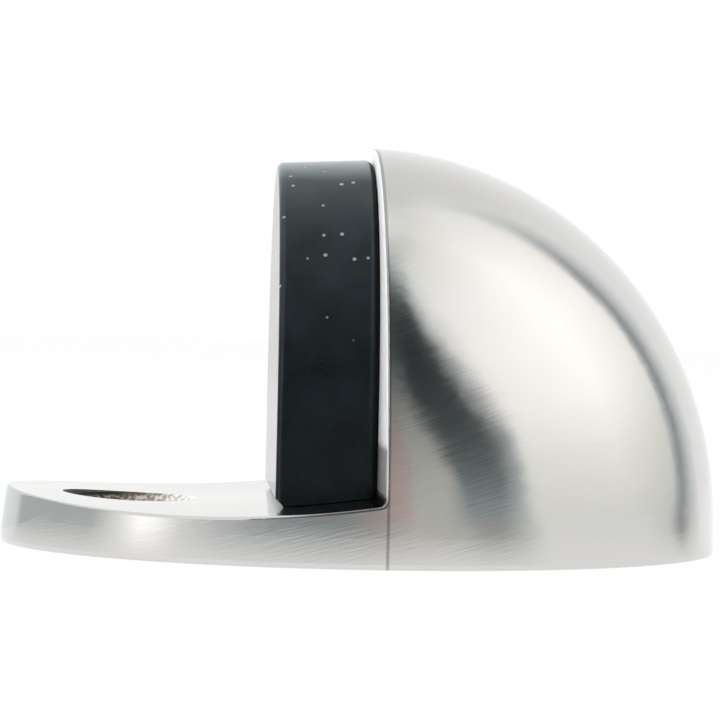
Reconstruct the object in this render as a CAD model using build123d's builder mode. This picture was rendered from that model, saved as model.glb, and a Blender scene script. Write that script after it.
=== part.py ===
from build123d import *
from math import radians, sqrt, tan
import os

# Oval door stop: a half dome on an oval base, with a rubber buffer against its flat face.
# The base lies on the floor at Z = 0, the tongue points to -X and the dome fills the +X half.
# All sizes are in millimetres and degrees.

# Oval dome, of which the base and the tongue are the lowest slice
base_length = 48.5
base_width = 40.0
base_wall_height = 1.93
dome_rise = 25.07
foot_round = 0.15

# Flat face of the dome, set back from the middle of the oval, and the wall of the cored casting
face_setback = 0.43
edge_round = 0.2
casting_wall = 3.0

# Tongue in front of the face: its top is a shallow dish, lowest at dish_reach from the middle.
# The wall of its tip leans back from tip_foot upwards, from a fine step in the upright wall.
tongue_thickness = 2.95
dish_radius = 83.5
dish_reach = 12.2
root_fillet = 0.5
tip_lean = 7.5
tip_flare = 0.6
tip_foot = 1.0
tip_step = 0.03

# Countersunk hole for one floor screw
screw_reach = 15.5
screw_hole_diameter = 5.0
countersink_diameter = 9.25
countersink_angle = 90.0

# Rubber buffer: an arch that stands on the dish and tapers towards the door
buffer_width = 24.2
buffer_thickness = 6.5
buffer_top_drop = 0.75
buffer_spring_height = 10.0
buffer_draft = 3.0
buffer_front_round = 0.45
buffer_back_round = 0.6
buffer_toe_chamfer = 0.6
seat_clearance = 0.05

# Stem of the buffer: pulled through the face, with a tapered head that opens behind the wall
stem_height = 13.5
stem_diameter = 5.6
stem_hole_clearance = 0.2
stem_head_diameter = 8.6
stem_head_length = 3.4
stem_head_rim = 0.9
stem_nose_diameter = 3.6
stem_head_clearance = 0.1

half_length = base_length / 2
half_width = base_width / 2
dome_height = base_wall_height + dome_rise
core_x = face_setback + casting_wall

# The face seen from the door: local X runs across it, local Y is its height above the floor
face_plane = Plane(origin=(face_setback, 0, 0), x_dir=(0, -1, 0), z_dir=(-1, 0, 0))


def dish_z(x, lift=0.0):
    """Height at x of the dished tongue top, or of a dish lifted square off it."""
    return tongue_thickness + dish_radius - sqrt((dish_radius - lift) ** 2 - (x + dish_reach) ** 2)


def oval_dome(inset):
    """The whole dome on its upright wall, drawn in by inset all round, cut flat at the floor."""
    length = half_length - inset
    rise = dome_rise - inset
    with BuildPart() as dome:
        with BuildSketch(Plane.XZ):
            with BuildLine():
                Polyline((0, base_wall_height + rise), (0, -rise), (length, -rise), (length, base_wall_height))
                EllipticalCenterArc((0, base_wall_height), length, rise, start_angle=0, arc_size=90)
            make_face()
        revolve(axis=Axis.Z)
        scale(by=(1, (half_width - inset) / length, 1))
        split(bisect_by=Plane.XY, keep=Keep.TOP)
    return dome.part


def front_space(left_x, lift=0.0):
    """All that lies between left_x and the face, above the dish, lifted off the dish."""
    left = (left_x, dish_z(left_x, lift))
    low = (-dish_reach, dish_z(-dish_reach, lift))
    root = (face_setback, dish_z(face_setback, lift))
    top_z = 2 * dome_height
    with BuildPart() as space:
        with BuildSketch(Plane.XZ) as side:
            with BuildLine():
                Polyline(root, (face_setback, top_z), (left_x, top_z), left)
                ThreePointArc(left, low, root)
            make_face()
            fillet(side.vertices().sort_by_distance(root)[0], root_fillet)
        extrude(amount=base_width, both=True)
    return space.part


# Core of the casting: the dome drawn in by the wall, behind the wall of the face
with BuildPart() as core:
    add(oval_dome(casting_wall))
    split(bisect_by=Plane.YZ.offset(core_x), keep=Keep.TOP)

# What the leaning wall of the tongue's tip leaves off: all that lies in front of a slanted oval prism
with BuildPart() as tip_trim:
    with BuildSketch(Plane.XY.offset(tip_foot)):
        with Locations((-half_length, 0)):
            Rectangle(half_length, base_width)
    extrude(amount=dome_height)
    with BuildSketch(Plane.XY.offset(tip_foot)):
        Ellipse(half_length - tip_step, half_width + tip_flare)
    extrude(amount=dome_height, dir=(tan(radians(tip_lean)), 0, 1), mode=Mode.SUBTRACT)

# Casting: the whole dome, trimmed at the tip, cut away in front of the face and above the tongue, then cored
with BuildPart() as body:
    add(oval_dome(0))
    fillet(body.faces().sort_by(Axis.Z)[0].edges(), foot_round)
    add(tip_trim.part, mode=Mode.SUBTRACT)
    add(front_space(-half_length - dish_reach / 2), mode=Mode.SUBTRACT)
    cut_faces = body.faces().filter_by(GeomType.CYLINDER) + body.faces().filter_by(face_plane)
    fillet(cut_faces.edges().filter_by(GeomType.LINE, reverse=True), edge_round)
    add(core.part, mode=Mode.SUBTRACT)
    with Locations((-screw_reach, 0, dish_z(-screw_reach))):
        CounterSinkHole(
            radius=screw_hole_diameter / 2,
            counter_sink_radius=countersink_diameter / 2,
            counter_sink_angle=countersink_angle,
        )
    with BuildSketch(face_plane):
        with Locations((0, stem_height)):
            Circle(stem_diameter / 2 + stem_hole_clearance)
    extrude(amount=-casting_wall, mode=Mode.SUBTRACT)
body.part.label = "body"

# Buffer: the arch is drawn out from the face, seated on the dish, then given its stem
arch_rise = dome_height - buffer_top_drop - buffer_spring_height
with BuildPart() as rubber_buffer:
    with BuildSketch(face_plane):
        with BuildLine():
            foot_z = tongue_thickness / 2
            arch = EllipticalCenterArc(
                (0, buffer_spring_height), buffer_width / 2, arch_rise, start_angle=0, arc_size=180
            )
            Polyline(arch @ 1, (-buffer_width / 2, foot_z), (buffer_width / 2, foot_z), arch @ 0)
        make_face()
    extrude(amount=buffer_thickness, taper=buffer_draft)
    front_face, back_face = rubber_buffer.faces().filter_by(face_plane).sort_by(Axis.X)
    fillet(front_face.edges(), buffer_front_round)
    fillet(back_face.edges(), buffer_back_round)
    seat_x = -2 * dish_reach - face_setback
    add(front_space(seat_x, seat_clearance), mode=Mode.INTERSECT)
    with BuildSketch(Plane.XZ):
        with BuildLine():
            toe_x = face_setback - buffer_thickness
            toe_z = dish_z(toe_x)
            Polyline(
                (toe_x, toe_z + buffer_toe_chamfer),
                (toe_x + buffer_toe_chamfer, toe_z),
                (toe_x, toe_z - buffer_toe_chamfer),
                (toe_x - buffer_toe_chamfer, toe_z),
                close=True,
            )
        make_face()
    extrude(amount=buffer_width, both=True, mode=Mode.SUBTRACT)
    with BuildSketch(Plane.XZ):
        with BuildLine():
            head_x = core_x + stem_head_clearance
            nose_x = head_x + stem_head_length
            Polyline(
                (face_setback, stem_height),
                (face_setback, stem_height + stem_diameter / 2),
                (head_x, stem_height + stem_diameter / 2),
                (head_x, stem_height + stem_head_diameter / 2),
                (head_x + stem_head_rim, stem_height + stem_head_diameter / 2),
                (nose_x, stem_height + stem_nose_diameter / 2),
                (nose_x, stem_height),
                close=True,
            )
        make_face()
    revolve(axis=Axis((0, 0, stem_height), (1, 0, 0)))
rubber_buffer.part.label = "rubber_buffer"

os.makedirs("parts", exist_ok=True)
export_step(body.part, "parts/body.step")
export_step(rubber_buffer.part, "parts/rubber_buffer.step")
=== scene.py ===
from math import cos, radians, sin

import bpy
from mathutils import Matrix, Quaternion, Vector

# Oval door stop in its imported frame: +X away from the door, +Z up, the floor at Z = 0.
# Lengths are in metres where nothing else is said, and angles are in degrees.
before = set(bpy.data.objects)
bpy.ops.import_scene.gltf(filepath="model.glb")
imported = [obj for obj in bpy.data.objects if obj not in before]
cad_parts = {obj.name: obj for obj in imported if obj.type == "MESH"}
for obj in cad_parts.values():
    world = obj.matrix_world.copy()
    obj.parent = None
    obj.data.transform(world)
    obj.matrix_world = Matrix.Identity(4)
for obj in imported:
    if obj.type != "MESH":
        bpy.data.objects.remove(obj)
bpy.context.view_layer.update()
MM = 0.001

# Camera at the photograph's view, for its square picture of 720 pixels
PHOTO_PIXELS = 720
FOCAL_PIXELS = 2701.4
SENSOR_MM = 36.0
CAMERA_PLACE = Vector((-11.78, -184.25, 14.66)) * MM
CAMERA_AIM = Vector((-0.11, 0.0, 12.60)) * MM
CAMERA_ROLL = 1.297

# Studio: a white room, a pale floor and the panels that the metal mirrors.
# PANEL_FOOT is the elevation at which the standing panels start, PANEL_GAP parts those that overlap,
# FACE_LIGHT is how bright the softbox beside the flat face is, and MIRROR_TURN is the camera's own turn.
STUDIO_RADIUS = 0.6
STUDIO_MIDDLE = Vector((0.0, 0.0, 12.0)) * MM
ROOM_SOFT_LIGHT = 0.55
FLOOR_RADIUS = 3.0
FLOOR_GLOW = 1.04
FLOOR_GLOW_SHARE = 0.9
FLOOR_CARD_LIFT = 0.3 * MM
PANEL_FOOT = -1.1
PANEL_GAP = 0.01
PANEL_STEPS = 6
FACE_LIGHT = 3.9
MIRROR_TURN = 3.6

# Places on the object that its finishes follow, in millimetres
OVAL_HALF = (24.25, 20.0)
FACE_X = 0.43
TONGUE_TOP = 4.0
DISH_LOW = (-12.2, 2.95)
DISH_RADIUS = 83.5
HOLE_X = -15.5
COUNTERSINK_RADIUS = 4.625
BUFFER_FRONT = -6.07

# Heights between which a finish sets in, in millimetres
FACE_FOOT_HEIGHTS = (TONGUE_TOP + 0.1, TONGUE_TOP + 0.5)
PALE_FACE_HEIGHTS = (7.2, 7.7)
DARK_RIM_HEIGHTS = (2.68, 2.86)
SPECK_HEIGHTS = (11, 16)
TOP_LIGHT_HEIGHTS = (12.0, 26.0)
CREST_HEIGHTS = (24.5, 26.3)

# Colours of the metal, and of the highlight and shade painted on it
NICKEL = (0.67, 0.665, 0.65, 1)
PAINTED_FACE_HIGHLIGHT = (0.86, 0.87, 0.87, 1)
PAINTED_EDGE_SHADE = (0.2, 0.2, 0.2, 1)
PAINTED_BUFFER_SHADE = (0.2, 0.17, 0.15, 1)
TAN_STAIN = (0.72, 0.58, 0.42, 1)
PALE_STAIN = (0.92, 0.88, 0.82, 1)
COUNTERSINK_DARK = (0.02, 0.018, 0.016, 1)

# Colours of the rubber, of the dust on it and of the light and shade painted on it
RUBBER_BLACK = (0.004, 0.0065, 0.0085, 1)
SMUDGED_BLACK = (0.0085, 0.013, 0.0165, 1)
GAP_SHADE_BLACK = (0.001, 0.0012, 0.0015, 1)
RUBBER_SHEEN = (0.8, 0.95, 1.0, 1)
PAINTED_TOP_LIGHT = (0.075, 0.09, 0.096, 1)
PAINTED_CREST_SHEEN = (0.34, 0.4, 0.41, 1)
DUST_SPECK = (0.4, 0.43, 0.44, 1)


class Shade:
    """A value in a node tree. Arithmetic on it adds Math nodes."""

    def __init__(self, nodes, socket):
        self.nodes = nodes
        self.socket = socket

    def math(self, operation, *values):
        return self.nodes.add("ShaderNodeMath", {"operation": operation}, dict(enumerate(values)))

    def __add__(self, other):
        return self.math("ADD", self, other)

    def __sub__(self, other):
        return self.math("SUBTRACT", self, other)

    def __rsub__(self, other):
        return self.math("SUBTRACT", other, self)

    def __mul__(self, other):
        return self.math("MULTIPLY", self, other)

    def __pow__(self, other):
        return self.math("POWER", self, other)

    __radd__ = __add__
    __rmul__ = __mul__


class Nodes:
    """A node tree under construction, with one way to add a node."""

    def __init__(self, owner):
        owner.use_nodes = True
        self.tree = owner.node_tree

    def plug(self, socket, value):
        if isinstance(value, Shade):
            self.tree.links.new(value.socket, socket)
        else:
            socket.default_value = value

    def add(self, kind, settings=None, inputs=None, output=0):
        """A new node, its settings first, then the values or links of its sockets; returns one output."""
        node = self.tree.nodes.new(kind)
        for key, value in (settings or {}).items():
            setattr(node, key, value)
        for key, value in (inputs or {}).items():
            self.plug(node.inputs[key], value)
        return Shade(self, node.outputs[output])

    def find(self, kind):
        return next(node for node in self.tree.nodes if node.bl_idname == kind)


def new_finish(name):
    """A material and its node tree, with the shader's socket setter."""
    material = bpy.data.materials.new(name)
    nodes = Nodes(material)
    shader = nodes.find("ShaderNodeBsdfPrincipled")

    def give(**values):
        for key, value in values.items():
            nodes.plug(shader.inputs[key.replace("_", " ")], value)

    return material, nodes, give


def object_millimetres(nodes):
    """The place on the object in millimetres, as x, y and z."""
    place = nodes.add("ShaderNodeTexCoord", output="Object")
    parts = nodes.add("ShaderNodeSeparateXYZ", inputs={0: place})
    return [Shade(nodes, parts.socket.node.outputs[axis]) * (1 / MM) for axis in "XYZ"]


def vector(nodes, x, y, z):
    return nodes.add("ShaderNodeCombineXYZ", inputs={"X": x, "Y": y, "Z": z})


def noise(nodes, place, **inputs):
    return nodes.add("ShaderNodeTexNoise", inputs={"Vector": place, **inputs})


def bump(nodes, height, strength, depth):
    return nodes.add("ShaderNodeBump", inputs={"Strength": strength, "Distance": depth, "Height": height})


def ramp(value, start, end):
    """0 before start, 1 after end and a straight rise between them; it falls where end is below start."""
    ends = {"From Min": start, "From Max": end, "To Min": 0, "To Max": 1}
    return value.nodes.add("ShaderNodeMapRange", inputs={"Value": value, **ends})


def mix_colour(nodes, share, low, high):
    inputs = {"Factor": share, 6: low, 7: high}
    return nodes.add("ShaderNodeMix", {"data_type": "RGBA"}, inputs, output=2)


def satin_nickel():
    """Brushed zinc casting, plated satin nickel: fine strokes run along the dome and rise to the back.
    The flat face behind the buffer is matt and rough, with a painted highlight in its pale colour and
    painted shade on its rounded edge. The tongue beside the buffer has brownish painted shade. The
    countersink is rough and stained, and darker along its rim towards the tip."""
    material, nodes, give = new_finish("satin_nickel")
    x, y, z = object_millimetres(nodes)

    # Brush strokes, long along the object and fine across it
    lift = 0.27 + 0.0006 * z * z
    across = z - x * lift
    strokes = vector(nodes, x * 0.4, y * 0.4, across * 6.0)
    fine = noise(nodes, strokes, Scale=1.0, Detail=2.0, Roughness=0.6)

    # Flat face: matt and rough, with a painted highlight in its pale colour, and painted shade on its
    # rounded edge
    on_face = ramp(x, FACE_X + 0.08, FACE_X + 0.04)
    matt_face_painted_highlight = on_face * (0.45 * ramp(z, *FACE_FOOT_HEIGHTS) + 0.55 * ramp(z, *PALE_FACE_HEIGHTS))
    # Painted shade darkens the rounded edge of the face
    edge_shade = ramp(x, FACE_X + 0.04, FACE_X + 0.1) * ramp(x, FACE_X + 0.3, FACE_X + 0.22)
    face_highlighted = mix_colour(nodes, matt_face_painted_highlight, NICKEL, PAINTED_FACE_HIGHLIGHT)
    edge_shaded = mix_colour(nodes, 0.6 * edge_shade, face_highlighted, PAINTED_EDGE_SHADE)

    # Painted shade, brownish, on the tongue beside the buffer
    from_low = x - DISH_LOW[0]
    above_dish = z - DISH_LOW[1] - from_low * from_low * (0.5 / DISH_RADIUS)
    beside_buffer = ramp(x, BUFFER_FRONT + 0.5, BUFFER_FRONT + 3.0) * ramp(x, FACE_X + 0.3, FACE_X)
    buffer_shade = beside_buffer * ramp(above_dish, -0.2, -0.08) * ramp(z, TONGUE_TOP + 0.6, TONGUE_TOP + 0.3)
    buffer_shaded = mix_colour(nodes, 0.75 * buffer_shade, edge_shaded, PAINTED_BUFFER_SHADE)

    # Stains in the countersink, cleaner towards the buffer
    from_hole = ((x - HOLE_X) * (x - HOLE_X) + y * y) ** 0.5
    in_hole = ramp(from_hole, COUNTERSINK_RADIUS + 0.05, COUNTERSINK_RADIUS - 0.03)
    speckle = noise(nodes, vector(nodes, x, y, z), Scale=3.2, Detail=2.0)
    # Darker along the countersink's upper rim towards the tip
    dark_rim = ramp(z, *DARK_RIM_HEIGHTS) * ramp(x, HOLE_X + 3.0, HOLE_X - 1.0)
    cleaner = ramp(x, HOLE_X - 2.5, HOLE_X + 3.0)
    pale = ramp(speckle, 0.42, 0.6) * 0.6 + 0.55 * cleaner
    tan = mix_colour(nodes, cleaner, TAN_STAIN, PALE_STAIN)
    stained = mix_colour(nodes, pale * (1 - 0.95 * dark_rim), COUNTERSINK_DARK, tan)

    give(Base_Color=mix_colour(nodes, in_hole, buffer_shaded, stained))
    give(Metallic=1.0 - 0.85 * matt_face_painted_highlight - 0.7 * in_hole)
    give(Roughness=0.08 + 0.08 * fine + 0.45 * matt_face_painted_highlight + 0.45 * in_hole)
    give(Anisotropic=0.6, Anisotropic_Rotation=0.25)
    give(Normal=bump(nodes, fine, strength=0.45, depth=0.01 * MM))
    return material


def black_rubber():
    """Moulded black rubber: matt with a slight sheen, smudged, with specks of dust and rubbed smooth in
    front.
    Painted light makes it lighter towards the top, with a painted sheen along the crest, and painted shade
    makes it deep black along its back edge."""
    material, nodes, give = new_finish("black_rubber")
    x, y, z = object_millimetres(nodes)
    place = vector(nodes, x, y, z)
    grain = noise(nodes, place, Scale=0.9, Detail=5.0, Roughness=0.6)
    smudge = noise(nodes, place, Scale=0.35, Detail=3.0)
    rubbed = ramp(x, BUFFER_FRONT + 0.4, BUFFER_FRONT + 0.2)
    # Painted shade: deep black along the back edge, next to the face
    shaded = ramp(x, FACE_X - 0.45, FACE_X - 0.3)

    # Dust specks in some cells of a pattern; painted light, mottled and lighter towards the top, and a
    # painted sheen along the crest
    cells = nodes.add("ShaderNodeTexVoronoi", inputs={"Vector": place, "Scale": 1.05}).socket.node
    chance = nodes.add("ShaderNodeSeparateColor", inputs={"Color": Shade(nodes, cells.outputs["Color"])})
    speck = ramp(Shade(nodes, cells.outputs["Distance"]) - 0.09 * chance, 0.09, 0.03)
    dust = speck * ramp(chance, 0.4, 0.41) * ramp(z, *SPECK_HEIGHTS)
    top_light = ramp(z, *TOP_LIGHT_HEIGHTS) * (0.3 + 0.5 * smudge)
    crest_sheen = ramp(z, *CREST_HEIGHTS) * (0.45 + 0.6 * smudge)

    smudged = mix_colour(nodes, ramp(smudge, 0.35, 0.7), RUBBER_BLACK, SMUDGED_BLACK)
    top_lit = mix_colour(nodes, top_light, smudged, PAINTED_TOP_LIGHT)
    crest_sheened = mix_colour(nodes, crest_sheen, top_lit, PAINTED_CREST_SHEEN)
    specked = mix_colour(nodes, dust, crest_sheened, DUST_SPECK)
    give(Base_Color=mix_colour(nodes, shaded, specked, GAP_SHADE_BLACK))
    give(Roughness=(0.15 + 0.14 * grain) * (1 - 0.45 * rubbed) + 0.5 * shaded)
    give(Specular_IOR_Level=0.32, Specular_Tint=RUBBER_SHEEN)
    give(Normal=bump(nodes, grain, strength=0.2, depth=0.05 * MM))
    return material


def direction(azimuth, elevation):
    """Unit vector from the object: azimuth 0 is towards the camera, 90 towards +X."""
    a, e = radians(azimuth), radians(elevation)
    return Vector((sin(a) * cos(e), -cos(a) * cos(e), sin(e)))


def blend(start, end, share):
    return start + (end - start) * share


def on_surround(azimuth, elevation, depth):
    return STUDIO_MIDDLE + (STUDIO_RADIUS + depth) * direction(azimuth, elevation)


def on_floor(azimuth, reach, depth):
    """A place on the floor, reached in millimetres from the spot of the oval wall that mirrors this azimuth
    to the camera."""
    facing = direction((azimuth - MIRROR_TURN) / 2, 0)
    length, width = OVAL_HALF
    span = ((length * facing.x) ** 2 + (width * facing.y) ** 2) ** 0.5
    wall = Vector((length ** 2 * facing.x, width ** 2 * facing.y, 0)) * (MM / span)
    return wall + reach * MM * direction(azimuth, 0) + Vector((0, 0, FLOOR_CARD_LIFT + depth))


def studio_panel(name, rows, lights_object=False, mirrored=True, depth=0.0, place=on_surround):
    """A curved panel of the studio. Each row has an elevation, or a reach on the floor, and stations of
    azimuth and colour of light. The panel bends and fades evenly from station to station and from row to
    row."""
    grid = []
    for (low, low_stations), (high, high_stations) in zip(rows, rows[1:]):
        steps = range(PANEL_STEPS + (high == rows[-1][0]))
        for up in (step / PANEL_STEPS for step in steps):
            line = []
            for (a, a_light), (b, b_light) in zip(low_stations, high_stations):
                light = [blend(p, q, up) for p, q in zip(a_light, b_light)]
                line.append((blend(low, high, up), blend(a, b, up), light))
            grid.append(line)
    points, faces, lights = [], [], []
    for line in grid:
        for (height, a, a_light), (_, b, b_light) in zip(line, line[1:]):
            last = b == line[-1][1]
            for along in (step / PANEL_STEPS for step in range(PANEL_STEPS + last)):
                points.append(place(blend(a, b, along), height, depth))
                lights.append([blend(p, q, along) for p, q in zip(a_light, b_light)])
    row = len(points) // len(grid)
    for j in range(len(grid) - 1):
        for i in range(row - 1):
            corner = j * row + i
            faces.append((corner, corner + row, corner + row + 1, corner + 1))
    add_panel(name, points, faces, lights, lights_object, mirrored)


def add_panel(name, points, faces, lights, lights_object, mirrored):
    """A glowing sheet of the studio that the object mirrors, that lights it, or both."""
    mesh = bpy.data.meshes.new(name)
    mesh.from_pydata(points, [], faces)
    colour = mesh.color_attributes.new("light", "FLOAT_COLOR", "POINT")
    for spot, light in zip(colour.data, lights):
        spot.color = (*light, 1)
    material = bpy.data.materials.new(name)
    nodes = Nodes(material)
    light = nodes.add("ShaderNodeAttribute", {"attribute_name": "light"})
    glow = nodes.add("ShaderNodeEmission", inputs={"Color": light, "Strength": 1.0})
    nodes.plug(nodes.find("ShaderNodeOutputMaterial").inputs["Surface"], glow)
    mesh.materials.append(material)
    panel = bpy.data.objects.new(name, mesh)
    bpy.context.scene.collection.objects.link(panel)
    panel.visible_camera = False
    panel.visible_shadow = False
    panel.visible_diffuse = lights_object
    panel.visible_glossy = mirrored


def tint(*shares):
    """A colour of light, as a function of how bright it is."""
    return lambda level: tuple(level * share for share in shares)


def light_studio():
    """The panels that stand round the object: softboxes, grey cards, dark flags and a card on the floor."""
    white = tint(1, 1, 1)
    warm = tint(1, 0.97, 0.95)
    cool = tint(0.94, 1, 1)
    green = tint(0.99, 1, 0.94)
    pink = tint(1, 0.81, 0.77)
    slate = tint(0.84, 1.0, 1.04)
    dusk = tint(1, 0.95, 0.91)
    studio_panel(
        "softbox_right",
        [
            (PANEL_FOOT, [(45, green(0.92)), (80, green(0.92)), (108, green(0.78))]),
            (12, [(44, green(1.04)), (80, green(1.14)), (110, green(0.92))]),
            (25, [(42, warm(1.24)), (80, warm(1.48)), (112, warm(1.2))]),
            (40, [(36, warm(1.28)), (80, warm(1.56)), (113, warm(1.32))]),
            (55, [(30, white(1.16)), (80, warm(1.52)), (118, warm(1.24))]),
            (70, [(32, green(1.0)), (80, warm(1.25)), (128, white(1.12))]),
            (80, [(44, green(0.74)), (80, green(1.0)), (150, white(0.88))]),
        ],
        lights_object=True,
        depth=PANEL_GAP,
    )
    studio_panel(
        "softbox_left",
        [
            (PANEL_FOOT, [(-82, cool(0.55)), (-72, white(1.15)), (-64, white(1.65)), (-54, white(1.45)),
                          (-44, white(1.1)), (-32, cool(0.6))]),
            (8, [(-82, cool(0.6)), (-72, white(1.3)), (-64, white(1.65)), (-54, white(1.5)),
                 (-44, white(1.2)), (-32, cool(0.65))]),
            (18, [(-82, cool(0.6)), (-72, white(0.9)), (-64, white(1.0)), (-54, white(0.9)),
                  (-44, white(0.7)), (-32, cool(0.4))]),
        ],
        lights_object=True,
    )
    studio_panel(
        "softbox_face",
        [
            (10, [(-165, white(FACE_LIGHT)), (-90, white(FACE_LIGHT))]),
            (66, [(-165, white(FACE_LIGHT)), (-90, white(FACE_LIGHT))]),
        ],
        lights_object=True,
        mirrored=False,
    )
    studio_panel(
        "flag_front",
        [
            (PANEL_FOOT, [(22, green(0.6)), (28, slate(0.42)), (37, slate(0.4)),
                          (42.5, cool(0.6)), (48.5, green(0.92))]),
            (9, [(22, green(0.58)), (26.5, slate(0.2)), (38, slate(0.2)),
                 (42.5, cool(0.5)), (46.5, green(0.98))]),
            (19, [(16.5, green(0.46)), (21.5, slate(0.085)), (34, slate(0.09)),
                  (40, cool(0.36)), (44.5, white(1.12))]),
            (30, [(11, slate(0.2)), (15, slate(0.048)), (27, slate(0.06)),
                  (33, cool(0.42)), (41, warm(1.24))]),
            (40, [(10, slate(0.12)), (14, slate(0.034)), (24, slate(0.038)),
                  (28.5, cool(0.5)), (35, warm(1.28))]),
            (50, [(9, slate(0.11)), (14, slate(0.04)), (20.5, slate(0.042)),
                  (24.5, cool(0.6)), (30, warm(1.18))]),
            (60, [(9, slate(0.12)), (14, slate(0.08)), (18.5, slate(0.09)),
                  (22, cool(0.6)), (27, white(1.06))]),
            (70, [(10, slate(0.26)), (16, slate(0.28)), (20, slate(0.36)),
                  (25, cool(0.74)), (32, green(1.0))]),
            (80, [(10, cool(0.48)), (20, cool(0.5)), (28, cool(0.54)),
                  (36, green(0.66)), (44, green(0.74))]),
        ],
    )
    studio_panel(
        "flag_back",
        [
            (PANEL_FOOT, [(107, cool(0.66)), (113, cool(0.38)), (121, cool(0.72)), (131, white(1.06))]),
            (10, [(110, cool(0.74)), (116, cool(0.35)), (123, cool(0.72)), (131, white(1.02))]),
            (20, [(112, cool(0.8)), (117, cool(0.33)), (123, cool(0.72)), (131, white(1.0))]),
            (40, [(113, cool(0.8)), (119, cool(0.34)), (125, cool(0.76)), (133, white(1.0))]),
            (55, [(118, white(1.1)), (126, cool(0.76)), (133, white(0.9)), (140, white(0.96))]),
            (70, [(128, white(1.1)), (136, white(1.0)), (144, white(0.95)), (150, white(0.92))]),
        ],
    )
    studio_panel(
        "card_front",
        [
            (PANEL_FOOT, [(-34, cool(0.5)), (-20, slate(0.38)), (-4, slate(0.34)), (3, pink(0.42)),
                          (12.5, pink(0.6)), (14, green(0.6)), (24, green(0.6))]),
            (10, [(-34, cool(0.3)), (-20, slate(0.24)), (-4, slate(0.2)), (3, pink(0.34)),
                  (12, pink(0.54)), (13.5, green(0.5)), (24, green(0.58))]),
            (20, [(-34, cool(0.25)), (-20, slate(0.2)), (-4, slate(0.16)), (3, pink(0.31)),
                  (9, pink(0.39)), (11, green(0.4)), (19, green(0.42))]),
            (40, [(-34, cool(0.25)), (-20, slate(0.2)), (-4, slate(0.14)), (3, slate(0.13)),
                  (6, slate(0.12)), (9, slate(0.11)), (13, slate(0.1))]),
            (64, [(-34, white(0.4)), (-20, white(0.3)), (-4, white(0.22)), (3, slate(0.2)),
                  (6, slate(0.18)), (9, slate(0.17)), (14, slate(0.17))]),
        ],
        depth=2 * PANEL_GAP,
    )
    studio_panel(
        "softbox_top",
        [
            (64, [(-60, white(0.8)), (-30, white(0.35)), (0, white(0.22)), (14, slate(0.2))]),
            (72, [(-60, white(0.8)), (-30, white(0.45)), (0, white(0.38)), (14, slate(0.32))]),
            (88, [(-60, white(0.75)), (-30, white(0.65)), (0, white(0.6)), (14, cool(0.56))]),
        ],
        depth=2 * PANEL_GAP,
    )
    studio_panel(
        "card_left",
        [
            (PANEL_FOOT, [(-172, cool(0.92)), (-139, cool(0.9)), (-134, cool(0.58)), (-80, cool(0.56))]),
            (20, [(-172, cool(0.92)), (-139, cool(0.9)), (-134, cool(0.54)), (-80, cool(0.56))]),
            (40, [(-172, cool(0.96)), (-139, cool(0.92)), (-134, cool(0.75)), (-80, cool(0.75))]),
        ],
        depth=2 * PANEL_GAP,
    )
    studio_panel(
        "card_back",
        [
            (30, [(138, white(1.0)), (180, white(1.0))]),
            (52, [(138, white(0.92)), (180, white(0.86))]),
            (80, [(138, white(0.86)), (180, white(0.8))]),
        ],
        depth=2 * PANEL_GAP,
    )
    # The floor card is white beside the object, takes its tones further out and is darkest in front
    floor_near = [
        (-172, cool(0.92)), (-139, cool(0.9)), (-133, cool(0.52)), (-84, cool(0.56)), (-72, white(1.0)),
        (-64, white(1.55)), (-58, white(1.4)), (-50, white(0.84)), (-38, cool(0.58)), (-24, cool(0.5)),
        (-8, cool(0.42)), (4, dusk(0.44)), (14, dusk(0.6)), (26, green(0.56)), (32, green(0.4)),
        (37, green(0.4)), (43, green(0.58)), (51, white(0.94)), (90, white(0.94)), (105, white(0.76)),
        (113, cool(0.36)), (121, white(0.72)), (132, white(1.0)),
    ]
    tone_shares = ((0.5, 0.1), (9, 0.3), (18, 0.65), (36, 1.0))
    rows = [
        (reach, [(turn, [blend(1.0, part, share) for part in light]) for turn, light in floor_near])
        for reach, share in tone_shares
    ]
    floor_far = [
        (turn, [0.5 * part for part in light] if -30 <= turn <= 0 else light)
        for turn, light in floor_near
    ]
    studio_panel("floor_card", rows + [(120, floor_far), (600, floor_far)], place=on_floor)


def rays_of_background(nodes):
    """1 where the camera sees a surface directly, mirrored or through glass, and 0 for soft light."""
    path = nodes.add("ShaderNodeLightPath").socket.node
    kinds = ("Camera", "Glossy", "Transmission")
    direct, mirrored, through = (Shade(nodes, path.outputs[f"Is {kind} Ray"]) for kind in kinds)
    return direct.math("MAXIMUM", direct.math("MAXIMUM", direct, mirrored), through)


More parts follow.
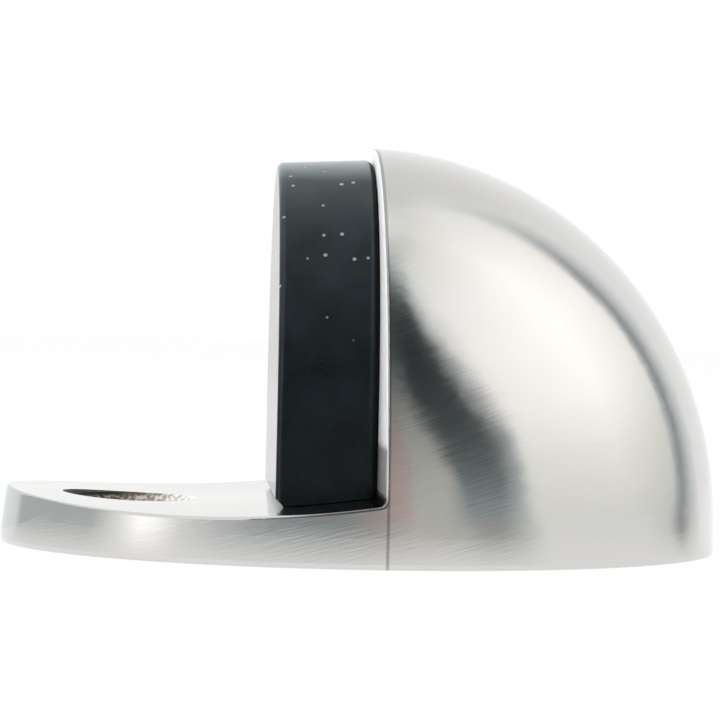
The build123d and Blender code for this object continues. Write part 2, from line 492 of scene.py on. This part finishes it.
def white_world():
    """White wherever the camera sees it, directly or mirrored, and a dimmer soft light otherwise."""
    world = bpy.data.worlds.new("white_room")
    bpy.context.scene.world = world
    nodes = Nodes(world)
    background = nodes.find("ShaderNodeBackground")
    seen = rays_of_background(nodes)
    nodes.plug(background.inputs["Color"], (1, 1, 1, 1))
    nodes.plug(background.inputs["Strength"], ROOM_SOFT_LIGHT + (1 - ROOM_SOFT_LIGHT) * seen)


def pale_floor():
    """A wide pale floor that reads white and keeps a faint shadow of the object."""
    bpy.ops.mesh.primitive_circle_add(vertices=96, radius=FLOOR_RADIUS, fill_type="NGON")
    floor = bpy.context.object
    floor.name = "floor"
    material = bpy.data.materials.new("pale_floor")
    nodes = Nodes(material)
    seen = rays_of_background(nodes)
    matt = nodes.add("ShaderNodeBsdfDiffuse", inputs={"Color": (0.9, 0.9, 0.9, 1)})
    glow = nodes.add("ShaderNodeEmission", inputs={"Color": (1, 1, 1, 1), "Strength": FLOOR_GLOW})
    surface = nodes.add("ShaderNodeMixShader", inputs={0: seen * FLOOR_GLOW_SHARE, 1: matt, 2: glow})
    nodes.plug(nodes.find("ShaderNodeOutputMaterial").inputs["Surface"], surface)
    floor.data.materials.append(material)


def photograph_camera():
    """A long lens at the photograph's place, turned by the picture's own slight roll."""
    lens = bpy.data.cameras.new("camera")
    lens.sensor_width = SENSOR_MM
    lens.lens = SENSOR_MM * FOCAL_PIXELS / PHOTO_PIXELS
    lens.clip_start = 1 * MM
    camera = bpy.data.objects.new("camera", lens)
    bpy.context.scene.collection.objects.link(camera)
    camera.location = CAMERA_PLACE
    camera.rotation_mode = "QUATERNION"
    level = (CAMERA_AIM - CAMERA_PLACE).to_track_quat("-Z", "Y")
    camera.rotation_quaternion = level @ Quaternion((0, 0, 1), radians(CAMERA_ROLL))
    bpy.context.scene.camera = camera


def give_material(piece, material):
    piece.data.materials.clear()
    piece.data.materials.append(material)


bpy.context.scene.view_settings.view_transform = "Standard"
photograph_camera()
white_world()
pale_floor()
light_studio()
give_material(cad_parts["body"], satin_nickel())
give_material(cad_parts["rubber_buffer"], black_rubber())
